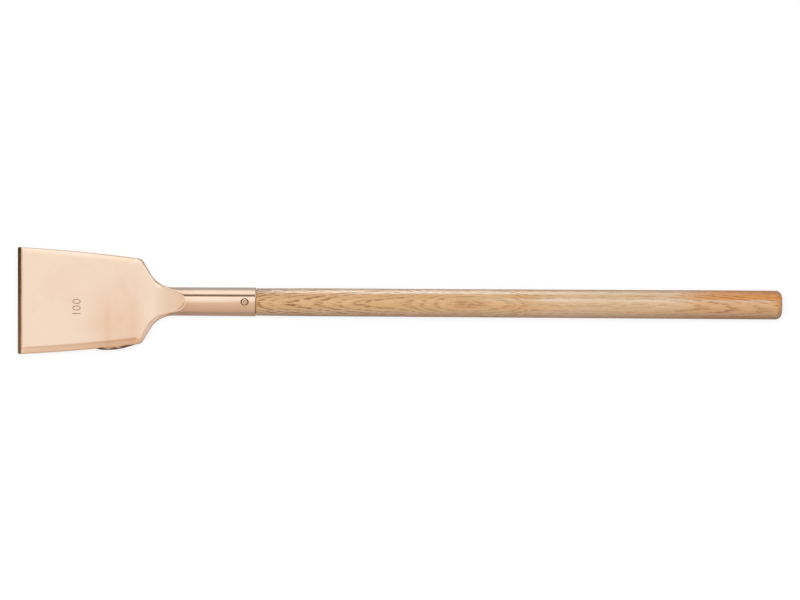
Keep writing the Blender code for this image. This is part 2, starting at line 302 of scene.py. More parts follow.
def noise(place, stretch, detail, shift, sharpness=0.5):
    tree = place.id_data
    moved = addNode(tree, 'ShaderNodeMapping', {"Vector": place, "Location": shift, "Scale": stretch})
    return addNode(tree, 'ShaderNodeTexNoise', {"Vector": moved.outputs[0], "Scale": 1.0, "Detail": detail,
                                                "Roughness": sharpness}).outputs


# Float curve through listed points, each (share, height), both from 0 to 1.
def handCurve(value, points):
    item = addNode(value.id_data, 'ShaderNodeFloatCurve', {"Value": value})
    line = item.mapping.curves[0]
    line.points[0].location, line.points[1].location = points[0], points[-1]
    for point in points[1:-1]:
        line.points.new(*point)
    item.mapping.update()
    return item.outputs[0]


# Straight-sided curve through (share, height) points
def greyRamp(value, points):
    item = addNode(value.id_data, 'ShaderNodeValToRGB', {"Fac": value})
    line = item.color_ramp.elements
    line[0].position, line[1].position = points[0][0], points[-1][0]
    for share, height in points[1:-1]:
        line.new(share)
    for stop, (share, height) in zip(line, points):
        stop.color = (height, height, height, 1.0)
    return item.outputs["Color"]


def splitXyz(value):
    return addNode(value.id_data, 'ShaderNodeSeparateXYZ', {0: value}).outputs


def objectPlace(tree):
    return addNode(tree, 'ShaderNodeTexCoord').outputs["Object"]


# What a mask can follow: the distance behind a place on X, across from the middle line and over the axis
def followPlace(tree, startX, **others):
    split = splitXyz(objectPlace(tree))
    return {"behind": math2('SUBTRACT', split["X"], startX), "across": split["Y"],
            "height": math2('SUBTRACT', split["Z"], axisZ), **others}


def newMaterial(name):
    material = bpy.data.materials.new(name)
    material.use_nodes = True
    return material.node_tree, material.node_tree.nodes["Principled BSDF"]


def setInputs(shader, values):
    for key, value in values.items():
        feed(shader.inputs[key], value)


# Camera: straight above, rolled a little, at the scale of the photograph

photo = {
    "width": 800, "height": 600,
    "toolLeft": 17.38, "toolRight": 782.1,       # pixel columns of the cutting edge and of the butt
    "lineLeft": 300.5, "lineRight": 305.05,      # pixel rows of the tool's middle line
    "lineLeftColumn": 18.0, "lineRightColumn": 770.0,
    "cameraHeight": 6.0, "sensorWidth": 36.0, "clipStart": 0.05, "clipEnd": 50.0,
}


def makeCamera():
    metresPerPixel = (buttX - edgeX) / (photo["toolRight"] - photo["toolLeft"])
    lineColumns = photo["lineRightColumn"] - photo["lineLeftColumn"]
    roll = math.atan2(photo["lineRight"] - photo["lineLeft"], lineColumns)
    middleColumn = photo["width"] / 2
    lineRow = mix(photo["lineLeft"], photo["lineRight"],
                  (middleColumn - photo["lineLeftColumn"]) / lineColumns)
    x = edgeX + (middleColumn - photo["toolLeft"]) * metresPerPixel
    y = (lineRow - photo["height"] / 2) * metresPerPixel
    distance = photo["cameraHeight"] - axisZ
    bpy.ops.object.camera_add(location=(x, y, photo["cameraHeight"]), rotation=(0, 0, roll))
    camera = bpy.context.object
    camera.name = "photoCamera"
    camera.data.sensor_width = photo["sensorWidth"]
    camera.data.lens = photo["sensorWidth"] * distance / (metresPerPixel * photo["width"])
    camera.data.clip_start = photo["clipStart"]
    camera.data.clip_end = photo["clipEnd"]
    bpy.context.scene.camera = camera
    print("camera: lens %.1f mm, roll %.2f degrees" % (camera.data.lens, math.degrees(roll)))


# Metal finishes. Each wear is the stretch of its marks, the scale of its clouds and the depth of the marks.
# Each rough is the share of the marks, or of the painted glints, and the value that it is added to.

bronzeLook = {
    "colour": (0.9, 0.705, 0.555, 1.0),          # pale, pinkish copper alloy
    "warmAndReflection": (0.83, 0.565, 0.395, 1.0),           # darker coppery tone, painted as reflection and shade on the head, and as cloudy tone
    "pinkHighlight": (0.92, 0.79, 0.74, 1.0),
    # Darker line colour: painted shade by the ramp's edge and on the socket's lip, and the stamped number's
    # colour
    "line": (0.52, 0.31, 0.2, 1.0),
    "wear": ((2600.0, 45.0, 45.0), 24.0, 0.00001),     # marks run square to the tool's length
    "rough": (0.08, 0.1), "metallic": 1.0,
    "slant": (-0.786, 0.619), "slantFrom": (0.1153, -0.0387),     # direction and start of the painted highlight's border
    # Middles of the painted stripes, behind the cutting edge or outside the ramp's edge
    "middles": {"fromNarrow": ("behind", 0.0845), "fromWide": ("behind", 0.107),
                "fromRamp": ("behind", 0.1535), "fromShadeLine": ("outside", -0.0006)},
    "masks": {
        # Painted reflection: the rear half of the blade is painted more coppery than the front, most of all
        # in one narrow stripe; bands by the neck and ramp are painted darker, and clouds vary it at random.
        "warmAndReflection": [[("behind", 0.058, 0.084, 0.0, 0.52), ("behind", 0.108, 0.122, 1.0, 0.0),
                  ("across", 0.042, -0.022, 0.12, 1.0), ("across", -0.034, -0.041, 1.0, 0.5)],
                 [("fromNarrow", 0.0, 0.0052, 0.3, 0.0), ("across", 0.012, -0.012)],
                 [("fromWide", 0.0, 0.008, 0.18, 0.0), ("across", 0.012, -0.012)],
                 [("behind", 0.14, 0.16, 0.0, 0.3), ("behind", 0.158, 0.17, 1.0, 0.0)],
                 [("fromRamp", 0.0, 0.007, 0.24, 0.0)],
                 [("clouds", 0.42, 0.7, 0.0, 0.25)]],
        # Painted highlight: the lower shoulder's sloping edge is painted paler and pinker. Its outline runs
        # aslant.
        "pinkHighlight": [[("slanting", 0.003, 0.005, 0.9, 0.0), ("behind", 0.112, 0.122),
                  ("across", -0.011, -0.017)]],
        # Painted shade: a darker line just inside the ramp's edge.
        "line": [[("fromShadeLine", 0.0, 0.00065, 1.0, 0.0), ("across", 0.0005, -0.0035),
                  ("height", 0.0025, 0.005), ("behind", 0.147, 0.151), ("behind", 0.159, 0.162, 0.75, 0.0)]],
    },
}

patinaLook = {
    "colour": (0.17, 0.1, 0.065, 1.0),           # dark brown casting skin
    "wear": ((500.0, 500.0, 500.0), 420.0, 0.0001), "rough": (-0.25, 0.52), "metallic": 0.85,
    "middles": {"fromFront": ("behind", 0.0848), "fromFrontSide": ("across", -0.0442),
                "fromRear": ("behind", 0.0947), "fromRearSide": ("across", -0.0434)},
    # Painted glints: two places on the stub are painted bright bronze.
    "masks": {
        "rubbed": [[("fromFront", 0.0, 0.0045, 1.0, 0.0), ("fromFrontSide", 0.0, 0.0007, 1.0, 0.0),
                    ("clouds", 0.3, 0.5)],
                   [("fromRear", 0.0, 0.003, 1.0, 0.0), ("fromRearSide", 0.0, 0.0007, 1.0, 0.0),
                    ("clouds", 0.3, 0.5)]],
    },
}

plainMetals = {
    "groundBevel": {                             # marks of the grinding run down the bevel
        "colour": (0.8, 0.52, 0.34, 1.0), "cloudColour": (0.68, 0.42, 0.26, 1.0), "clouds": (0.35, 0.7),
        "wear": ((90.0, 3000.0, 90.0), 60.0, 0.00002), "rough": (0.14, 0.13), "metallic": 1.0,
    },
    # Stamped number, and the socket's lip painted dark as shade
    "stampedAndShadedBronze": {
        "colour": bronzeLook["line"], "cloudColour": (0.39, 0.2325, 0.15, 1.0), "clouds": (0.3, 0.7),
        "wear": ((700.0, 700.0, 700.0), 300.0, 0.00001), "evenRough": 0.4, "metallic": 0.8,
    },
    "pinBronze": {
        "colour": (0.86, 0.65, 0.47, 1.0), "cloudColour": bronzeLook["warmAndReflection"], "clouds": (0.4, 0.7, 0.0, 0.5),
        "wear": ((900.0, 900.0, 900.0), 500.0, 0.000004), "rough": (0.1, 0.18), "metallic": 1.0,
    },
    # Painted shade in the pin hole's chamfer and in the pin's groove
    "grooveShade": {
        "evenColour": (0.13, 0.075, 0.04, 1.0),
        "wear": ((900.0, 900.0, 900.0), 500.0, 0.00002), "rough": (0.2, 0.5), "metallic": 0.5,
    },
}


wearShape = {
    "marks": (3.0, (0.0, 0.0, 0.0), 0.6),        # detail, shift and roughness of the noise
    "clouds": {"Detail": 3.0, "Roughness": 0.55, "Distortion": 0.6},
}


# Node group: fine directional marks, cloudy variation of the polish, and a bumped normal
def makeWearGroup():
    group = bpy.data.node_groups.new("polishMarks", 'ShaderNodeTree')
    for way, name, kind in (('INPUT', "Stretch", 'Vector'), ('INPUT', "Cloud Scale", 'Float'),
                            ('INPUT', "Depth", 'Float'), ('OUTPUT', "Marks", 'Float'),
                            ('OUTPUT', "Clouds", 'Float'), ('OUTPUT', "Normal", 'Vector')):
        group.interface.new_socket(name=name, in_out=way, socket_type='NodeSocket' + kind)
    given = addNode(group, 'NodeGroupInput').outputs
    place = objectPlace(group)
    marks = noise(place, given["Stretch"], *wearShape["marks"])["Fac"]
    clouds = addNode(group, 'ShaderNodeTexNoise', {"Vector": place, "Scale": given["Cloud Scale"],
                                                   **wearShape["clouds"]}).outputs["Fac"]
    bump = addNode(group, 'ShaderNodeBump', {"Height": marks, "Distance": given["Depth"], "Strength": 1.0})
    addNode(group, 'NodeGroupOutput', {"Marks": marks, "Clouds": clouds, "Normal": bump.outputs["Normal"]})
    return group


def startMetal(name, wear, stretch, cloudScale, depth):
    tree, shader = newMaterial(name)
    inputs = {"Stretch": stretch, "Cloud Scale": cloudScale, "Depth": depth}
    wearOut = addNode(tree, 'ShaderNodeGroup', inputs, node_tree=wear).outputs
    feed(shader.inputs["Normal"], wearOut["Normal"])
    return shader, wearOut


def makePlainMetal(name, wear):
    look = plainMetals[name]
    shader, wearOut = startMetal(name, wear, *look["wear"])
    colour = look.get("evenColour") or blend(fade(wearOut["Clouds"], *look["clouds"]),
                                             look["colour"], look["cloudColour"])
    rough = look.get("evenRough") or scaled(wearOut["Marks"], *look["rough"])
    setInputs(shader, {"Base Color": colour, "Roughness": rough, "Metallic": look["metallic"]})


def makeBronze(wear):
    look = bronzeLook
    shader, wearOut = startMetal("polishedBronze", wear, *look["wear"])
    follows = followPlace(shader.id_data, edgeX, clouds=wearOut["Clouds"])
    follows["outside"] = math2('SUBTRACT', lengthOf(follows["across"], follows["height"]), neckRadius)
    follows["slanting"] = total(*[scaled(follows[what], slope, -slope * start) for what, slope, start
                                  in zip(("behind", "across"), look["slant"], look["slantFrom"])])
    colour = look["colour"]
    for name, mask in makeMasks(look, follows).items():
        colour = blend(mask, colour, look[name])
    setInputs(shader, {"Base Color": colour, "Roughness": scaled(wearOut["Marks"], *look["rough"]),
                       "Metallic": look["metallic"]})


def makePatina(wear):
    look = patinaLook
    shader, wearOut = startMetal("castPatina", wear, *look["wear"])
    rubbed = makeMasks(look, followPlace(shader.id_data, edgeX, clouds=wearOut["Clouds"]))["rubbed"]
    setInputs(shader, {"Base Color": blend(rubbed, look["colour"], bronzeLook["colour"]),
                       "Roughness": scaled(rubbed, *look["rough"]), "Metallic": look["metallic"]})


# Wood of the handle

woodLook = {
    "honey": (0.66, 0.385, 0.17, 1.0),
    "pale": (0.7, 0.47, 0.275, 1.0),
    "tan": (0.67, 0.365, 0.165, 1.0),
    "streak": (0.27, 0.115, 0.035, 1.0),
    "silver": (0.745, 0.61, 0.46, 1.0),          # painted sheen: pale streaks, partly paler wood and partly a painted coat highlight
    "orange": (0.72, 0.28, 0.055, 1.0),          # warm heartwood near the butt
    "paintedSideFront": (0.7, 0.5, 0.37, 1.0),           # painted light on the lower side near the socket, paler and greyer
    "lowRear": (0.57, 0.35, 0.205, 1.0),
    "ringPitch": 0.0027,
    "pithHeight": 0.0274,                        # over the handle's axis
    "pithSide": -0.0028,                         # across from the handle's axis
    # How many rings the grain has run out, as (share of the shaft's length, share of the most).
    "runOut": [(0.0, 0.0), (0.025, 0.1), (0.055, 0.2), (0.115, 0.3), (0.153, 0.4), (0.194, 0.5), (0.284, 0.6),
               (0.311, 0.7), (0.335, 0.8), (0.4, 0.93), (0.434, 0.9), (0.49, 0.8), (0.518, 0.7), (0.56, 0.69),
               (0.75, 0.7), (0.85, 0.6), (0.93, 0.5), (1.0, 0.44)],
    "runOutRings": 10.0,
    # How far the pith wanders sideways, 0.5 for not at all.
    "wander": [(0.0, 0.5), (0.7, 0.5), (0.82, 0.44), (1.0, 0.2)],
    "wanderReach": 0.03,
    "swayAcross": 0.0024, "swayUp": 0.002, "raggedness": 0.5,
    # How porous a ring is, by share of the ring.
    "porousPart": [(0.0, 0.0), (0.07, 1.0), (0.3, 0.85), (0.52, 0.1), (0.7, 0.0), (1.0, 0.0)],
    "ringStrength": (0.5, 0.6),                  # spread and least strength of the rings
    "dashStrength": (0.95, 0.08),
    # How strong the pores are, by share of the shaft's length
    "fleckStrength": [(0.0, 1.0), (0.2, 0.9), (0.4, 0.8), (0.5, 0.85), (0.56, 0.5), (0.75, 0.5), (0.85, 0.75),
                      (1.0, 0.6)],
    # Noises, as (stretch, detail, shift), all drawn out along the grain
    "noises": {
        "sway": ((16.0, 70.0, 70.0), 2.0, (0.0, 0.0, 0.0)),
        "ragged": ((150.0, 700.0, 700.0), 2.0, (3.1, 0.4, 1.7)),
        "dashes": ((120.0, 700.0, 700.0), 3.0, (0.7, 2.2, 0.9)),
        "loose": ((130.0, 1100.0, 1100.0), 1.5, (5.0, 1.0, 3.0)),
        "broad": ((11.0, 160.0, 160.0), 3.0, (1.5, 0.0, 4.0)),
        "fine": ((34.0, 1900.0, 1900.0), 2.0, (2.0, 7.0, 0.0)),
        "patchy": ((22.0, 500.0, 500.0), 2.0, (0.0, 3.3, 6.0)),
    },
    # Middles of the painted sheen streaks and of one rusty streak
    "middles": {"fromNear": ("across", 0.0107), "fromFar": ("across", 0.0036), "fromRust": ("across", 0.0066),
                "fromRustMiddle": ("along", 0.495)},
    "masks": {                                   # along is the share of the shaft's length
        "dashes": [[("dashes", 0.4, 0.55)]],
        "loose": [[("loose", 0.58, 0.72, 0.0, 0.35)]],
        "tan": [[("along", 0.72, 0.88)]],
        "pale": [[("along", 0.5, 0.6, 0.0, 0.8), ("along", 0.78, 0.86, 1.0, 0.0)],
                 [("broad", 0.42, 0.68, 0.0, 0.35)]],
        # Painted light and shade on the lower side: paler near the socket, darker toward the butt
        "lowRear": [[("along", 0.45, 0.85)]],
        "low": [[("across", -0.002, -0.0125, 0.0, 0.62)]],
        "fine": [[("fine", 0.48, 0.72, 0.0, 0.28)]],
        # Painted sheen along the top of the handle, one streak beside the socket and one further back, partly
        # paler wood and partly a painted coat highlight
        "silver": [[("along", 0.48, 0.62, 1.0, 0.25), ("fromNear", 0.0008, 0.003, 1.0, 0.0),
                    ("height", 0.0, 0.004), ("patchy", 0.3, 0.62, 0.25, 0.95)],
                   [("along", 0.42, 0.48), ("along", 0.77, 0.84, 1.0, 0.5),
                    ("fromFar", 0.0, 0.0024, 1.0, 0.0), ("height", 0.0, 0.004),
                    ("patchy", 0.3, 0.62, 0.25, 0.95)]],
        # Warm heartwood on one side, toward the butt, with a ragged border, and over the butt's end
        "warmth": [[("along", 0.78, 0.9, 0.0, 0.88), ("border", 0.0062, 0.0088)]],
        "cap": [[("along", 0.975, 0.992, 0.0, 0.88), ("across", -0.005, 0.002, 0.0, 0.7)]],
        "rust": [[("fromRustMiddle", 0.0, 0.045, 0.6, 0.0), ("fromRust", 0.0, 0.0012, 1.0, 0.0)]],
        # Painted shade: the lower edge darkens toward the butt.
        "under": [[("along", 0.84, 0.94), ("across", -0.0105, -0.0124, 0.0, 0.4)]],
    },
    "warmRaggedness": 0.006, "fineRelief": 0.25, "reliefDepth": 0.00008, "rough": (0.2, 0.42),
    "coat": 0.3, "coatRough": 0.25,
}


def makeWood():
    look = woodLook
    tree, shader = newMaterial("oiledHardwood")
    place = objectPlace(tree)
    # The sway goes two ways, so it takes the colour of its noise.
    grain = {name: noise(place, *values)["Fac" if name != "sway" else "Color"]
             for name, values in look["noises"].items()}
    follows = followPlace(tree, mouthX, **grain)
    across, height = follows["across"], follows["height"]
    along = addNode(tree, 'ShaderNodeMapRange', {"Value": follows["behind"], "From Max": buttX - mouthX},
                    clamp=True).outputs["Result"]
    follows["along"] = along
    follows["border"] = scaled(grain["broad"], look["warmRaggedness"], across)
    mask = makeMasks(look, follows)

    # Growth rings stand round a pith above the handle, and the grain runs out along the length.
    sway = splitXyz(grain["sway"])
    wander = scaled(handCurve(along, look["wander"]), -look["wanderReach"],
                    look["wanderReach"] / 2 - look["pithSide"])
    swayAcross = scaled(sway["X"], look["swayAcross"], -look["swayAcross"] / 2)
    swayUp = scaled(sway["Y"], look["swayUp"], -look["swayUp"] / 2 - look["pithHeight"])
    fromPith = lengthOf(total(across, total(wander, swayAcross)), total(height, swayUp))
    runOut = product(handCurve(along, look["runOut"]), look["runOutRings"])
    rings = math2('SUBTRACT', math2('DIVIDE', fromPith, look["ringPitch"]), runOut)
    rings = total(rings, scaled(grain["ragged"], look["raggedness"], -look["raggedness"] / 2))
    porous = greyRamp(math2('FRACT', rings), look["porousPart"])
    # Some rings are stronger than others.
    strengths = addNode(tree, 'ShaderNodeTexWhiteNoise', {"W": math2('FLOOR', rings)},
                        noise_dimensions='1D').outputs["Value"]
    ringStrength = scaled(strengths, *look["ringStrength"])

    # Pores are short dark dashes along the grain, most of them in the porous part of each ring.
    strength = handCurve(along, look["fleckStrength"])
    dashes = scaled(mask["dashes"], *look["dashStrength"])
    pores = total(product(porous, dashes, ringStrength, strength), product(mask["loose"], strength),
                  clamp=True)

    # Honey near the socket, paler along the middle, tan toward the butt, and painted light and shade on the
    # lower side
    colour = look["honey"]
    paintedSideColour = blend(mask["lowRear"], look["paintedSideFront"], look["lowRear"])
    for share, layer in ((mask["tan"], look["tan"]), (mask["pale"], look["pale"]), (mask["low"], paintedSideColour),
                         (mask["fine"], look["streak"]), (mask["silver"], look["silver"]),
                         (math2('MAXIMUM', mask["warmth"], mask["cap"]), look["orange"]),
                         (mask["rust"], look["orange"]), (pores, look["streak"]),
                         (mask["under"], look["streak"])):
        colour = blend(share, colour, layer)

    relief = scaled(pores, -1.0, product(grain["fine"], look["fineRelief"]))
    bump = addNode(tree, 'ShaderNodeBump',
                   {"Height": relief, "Distance": look["reliefDepth"], "Strength": 1.0})
    setInputs(shader, {"Base Color": colour, "Roughness": scaled(pores, *look["rough"]), "Metallic": 0.0,
                       "Coat Weight": look["coat"], "Coat Roughness": look["coatRough"],
                       "Normal": bump.outputs["Normal"]})


# Head: blade, shoulders, ramps and socket, drawn out section by section from the cutting edge

headShape = {
    "bladeLength": 0.1158, "shoulderLength": 0.0159, "rampLength": 0.0257,
    "bladeWidth": 0.09988, "shoulderWidth": 0.0793, "sideBow": 0.002, "sideBowRadius": 1.5,
    "frontCornerRadius": 0.0014, "shoulderRadius": 0.0065, "neckHollowRadius": 0.0245,
    "faceHeights": (0.0013, 0.0026), "backHeights": (0.0023, 0.0023),  # at the cutting edge and at the neck
    "rampHollowRadius": 0.05, "edgeRound": 0.004, "rimRound": 0.005,
    # Along the blade and at the shoulder: the edge band's width, its outer border's height, its rim, and its
    # steep inner part
    "band": (0.006, 0.0037), "edgeShare": (0.55, 0.8),
    "rimWidth": (0.0009, 0.0015), "rimDrop": (0.00035, 0.00077),
    "bandHollowShare": ((0.5, 0.45), (0.2, 0.45)), "bandHollowDrop": ((0.3, 0.5), (0.44, 0.5)),
    "frontEdgeShare": 0.88, "frontRunOut": 0.0095,   # the band starts out shallow at the bevel
    # On each side of the neck: how far the band takes to narrow, where it starts and ends to turn round, and
    # whether its border rises
    "narrowing": ((0.95, 0.45, 1.1, 1.0), (1.9, 0.0, 1.9, 0.0)),
    "edgeSkew": 0.0061,                          # the cutting edge isn't quite square to the handle
    "creaseReach": 0.0011, "creaseShare": 0.45, "slopeStep": 0.0004,
    "bevelLength": 0.00405, "cuttingEdge": 0.0004, "bevelRound": 0.0042, "bevelSteps": 8, "bevelPaint": 0.4,
    "bevelCell": 0.002, "bevelZone": 0.006,
    "socketTaper": 0.0003, "socketLip": 0.0006, "lipFacing": 0.5,
    "boreRadius": 0.01025, "boreDepth": 0.06, "boreChamfer": 0.0008, "drillPoint": 0.0062,
    "planSteps": 24, "sideSteps": 30, "bandSteps": 10, "edgePoints": 24, "creasePoints": 5, "flatPoints": 8,
    # Sections over the front corner, and on to the shoulder, the neck, the ramp's top, the lip and the mouth
    "cornerSections": 6, "sections": (48, 52, 44, 48, 3), "shoulderLead": 1.5,
    "firstWeld": 0.000004, "weld": 0.000002,
}
neckX = headShape["bladeLength"] + headShape["shoulderLength"]
rampTopX = neckX + headShape["rampLength"]
mouthAt = mouthX - edgeX
lipAt = mouthAt - headShape["socketLip"]
neckRadius = socketRadius - headShape["socketTaper"]
bronzeSlot, groundSlot, patinaSlot, stampedAndShadeSlot, grooveShadeSlot = range(5)     # the head's material slots


def socketRadiusAt(x):
    if x > lipAt:
        return socketRadius - (x - lipAt)
    return mix(neckRadius, socketRadius, min(max((x - neckX) / (lipAt - neckX), 0.0), 1.0))


# The head's half width seen from above, and its face and back seen from the side.
def makeOutlines():
    shape = headShape
    bladeHalf, shoulderHalf = shape["bladeWidth"] / 2, shape["shoulderWidth"] / 2
    plan = roundedPath([
        (0, bladeHalf - shape["frontCornerRadius"], 0), (0, bladeHalf, shape["frontCornerRadius"]),
        (shape["bladeLength"] / 2, (bladeHalf + shoulderHalf) / 2 + shape["sideBow"], shape["sideBowRadius"]),
        (shape["bladeLength"], shoulderHalf, shape["shoulderRadius"]),
        (neckX, neckRadius, shape["neckHollowRadius"]),
        (lipAt, socketRadius, 0), (mouthAt, socketRadius - shape["socketLip"], 0),
    ], shape["planSteps"])
    sides = [roundedPath([(0, front, 0), (neckX, rear, shape["rampHollowRadius"]),
                          (rampTopX, socketRadiusAt(rampTopX), 0), (mouthAt, 2 * socketRadius, 0)],
                         shape["sideSteps"])
             for front, rear in (shape["faceHeights"], shape["backHeights"])]
    return plan, sides


# Distances behind the cutting edge at which a section is drawn: closer where the form turns.
def stationPlaces():
    shape = headShape
    corner, count = shape["frontCornerRadius"], shape["cornerSections"]
    shoulderStart = shape["bladeLength"] - shape["shoulderLead"] * shape["shoulderRadius"]
    borders = (corner, shoulderStart, neckX, rampTopX, lipAt, mouthAt)
    places = [corner * (1 - math.cos(math.radians(90) * step / count)) for step in range(count)]
    for start, end, count in zip(borders, borders[1:], shape["sections"]):
        shares = [step / count for step in range(count)]
        if start == neckX:
            shares = [1 - (1 - share) ** 2 for share in shares]
        places += [mix(start, end, share) for share in shares]
    return places + [mouthAt]


def pointAlong(line, distance):
    for before, after in zip(line, line[1:]):
        length = (after - before).length
        if distance <= length and length > 0:
            return before.lerp(after, distance / length)
        distance -= length
    return line[-1].copy()


# Points (distance from the middle plane, height) from the parting plane up and in to the middle.
def halfSection(x, plan, side, neckSide):
    shape = headShape
    halfWidth = heightOn(plan, x)
    radius = socketRadiusAt(x)
    height = min(heightOn(side, x), radius)
    flatAngle = math.asin(min(height / radius, 1.0))
    roundInset = radius * (1 - math.cos(flatAngle))
    neckEnd = plan[-3].x
    along = (x - neckX) / (neckEnd - neckX)
    narrowEnd, roundStart, roundEnd, rise = shape["narrowing"][neckSide]
    narrowing = smoothStep(along / narrowEnd)
    roundness = smoothStep((along - roundStart) / (roundEnd - roundStart))
    fall = max((halfWidth - heightOn(plan, x + shape["slopeStep"])) / shape["slopeStep"], 0.0)
    toShoulder = smoothStep((x - shape["bladeLength"]) / shape["shoulderRadius"] + 1)

    def here(values):
        return mix(*values, toShoulder)

    band = here(shape["band"]) * math.hypot(1, fall)
    inset = mix(band, roundInset, narrowing)
    edgeShare = mix(shape["frontEdgeShare"], here(shape["edgeShare"]), smoothStep(x / shape["frontRunOut"]))
    edgeHeight = height * mix(edgeShare, 1, narrowing * rise)
    shrink = math.sqrt(inset / band)
    rimWidth = here(shape["rimWidth"]) * math.hypot(1, fall) * shrink
    wallHeight = edgeHeight - here(shape["rimDrop"]) * shrink
    hollowAt = -mix(inset, rimWidth, here(shape["bandHollowShare"][neckSide]))
    hollowHeight = mix(height, edgeHeight, here(shape["bandHollowDrop"][neckSide]))
    bladeEdge = roundedPath([(0, 0, 0), (0, wallHeight, shape["edgeRound"]),
                             (-rimWidth, edgeHeight, shape["rimRound"]),
                             (hollowAt, hollowHeight, shape["edgeRound"] * 2), (-inset, height, 0)],
                            shape["bandSteps"])
    edge = []
    for index, point in enumerate(bladeEdge):
        angle = flatAngle * index / (len(bladeEdge) - 1)
        onSocket = Vector((-inset * (1 - math.cos(angle)) / (1 - math.cos(flatAngle)),
                           height * math.sin(angle) / math.sin(flatAngle)))
        edge.append(Vector((halfWidth, 0)) + point.lerp(onSocket, roundness))
    crease = edge[-1]
    flatWidth = max(crease.x, 0.0)
    edgeLength = sum((after - before).length for before, after in zip(edge, edge[1:]))
    reach = min(shape["creaseReach"], shape["creaseShare"] * flatWidth, shape["creaseShare"] * edgeLength)
    edgeEnd = pointAlong(edge, edgeLength - reach)
    flatStart = Vector((flatWidth - reach, height))
    points = [pointAlong(edge, (edgeLength - reach) * index / shape["edgePoints"])
              for index in range(shape["edgePoints"])] + [edgeEnd]
    for index in range(1, shape["creasePoints"]):
        share = index / shape["creasePoints"]
        points.append(edgeEnd.lerp(crease, share).lerp(crease.lerp(flatStart, share), share))
    points += [flatStart.lerp(Vector((0, height)), index / shape["flatPoints"])
               for index in range(shape["flatPoints"] + 1)]
    return points


def headSection(x, plan, sides):
    shape = headShape
    (upper, upperFar), (lower, lowerFar) = [[halfSection(x, plan, side, neckSide) for neckSide in (0, 1)]
                                            for side in sides]
    outline = [(point.x, point.y) for point in upper]
    outline += [(-point.x, point.y) for point in reversed(upperFar[:-1])]
    outline += [(-point.x, -point.y) for point in lowerFar[1:]]
    outline += [(point.x, -point.y) for point in reversed(lower[1:-1])]
    skew = shape["edgeSkew"] * max(1 - x / shape["bladeLength"], 0)
    return [Vector((edgeX + x + skew * (shape["bladeWidth"] / 2 - y), y, axisZ + z)) for y, z in outline]


# Draws a solid out of one circle, extruding it once for each section and shaping it to that section.
def drawOut(name, sections):
    bpy.ops.mesh.primitive_circle_add(vertices=len(sections[0]), radius=socketRadius, fill_type='NGON')
    piece = nameNew(name)
    editPiece(piece)
    cage = bmesh.from_edit_mesh(piece.data)
    spot = cage.verts.layers.int.new("spot")
    for index, vert in enumerate(cage.verts):
        vert[spot] = index
        vert.co = sections[0][index]
    bmesh.update_edit_mesh(piece.data)
    for before, section in zip(sections, sections[1:]):
        bpy.ops.mesh.extrude_region_move(TRANSFORM_OT_translate={"value": section[0] - before[0]})
        cage = bmesh.from_edit_mesh(piece.data)
        spot = cage.verts.layers.int["spot"]
        for vert in cage.verts:
            if vert.select:
                vert.co = section[vert[spot]]
        bmesh.update_edit_mesh(piece.data)
    return piece


def makeHead():
    shape = headShape
    plan, sides = makeOutlines()
    places = stationPlaces()
    head = drawOut("scraperHead", [headSection(x, plan, sides) for x in places])
    giveMaterials(head, "polishedBronze", "groundBevel", "castPatina", "stampedAndShadedBronze", "grooveShade")
    weldAndSmooth(head, shape["firstWeld"])
    print("head drawn out: %d sections, %d faces" % (len(places), len(head.data.polygons)))

    combine(head, makeGateStub(plan), 'UNION', 'MANIFOLD')
    skin = sum(face.material_index == patinaSlot for face in head.data.polygons)
    print("stub joined: %d faces of casting skin" % skin)
    bevelPlace, bevelOutward = grindBevel(head, sides[0])
    boreSocket(head)
    combine(head, makeNumber(sides[0]), 'DIFFERENCE')
    combine(head, makePinCutter(), 'DIFFERENCE')
    weldAndSmooth(head, shape["weld"])
    # The ground face stays flat: its own edges are sharp.
    editPiece(head, 'EDGE', 'DESELECT')
    flatEdges = pick(head, lambda one: any(
        liesIn(face, bevelPlace, bevelOutward, tolerance["bevelFacing"], tolerance["inBevel"])
        for face in one.link_faces), 'edges')
    bpy.ops.mesh.mark_sharp()
    deselectAll()
    print("head cut: %d faces, %d edges round the bevel" % (len(head.data.polygons), flatEdges))
    return head


# Cuts off what lies outside a plane, closes the cut and gives it a material
def grind(piece, place, outward, slotNumber):
    editPiece(piece, 'FACE')
    bpy.ops.mesh.bisect(plane_co=place, plane_no=outward, use_fill=True, clear_outer=True,
                        threshold=tolerance["onPlane"])
    bpy.ops.mesh.select_all(action='SELECT')
    bpy.ops.mesh.normals_make_consistent(inside=False)
    found = pick(piece, lambda one: liesIn(one, place, outward))
    paintPicked(piece, slotNumber)
    return found


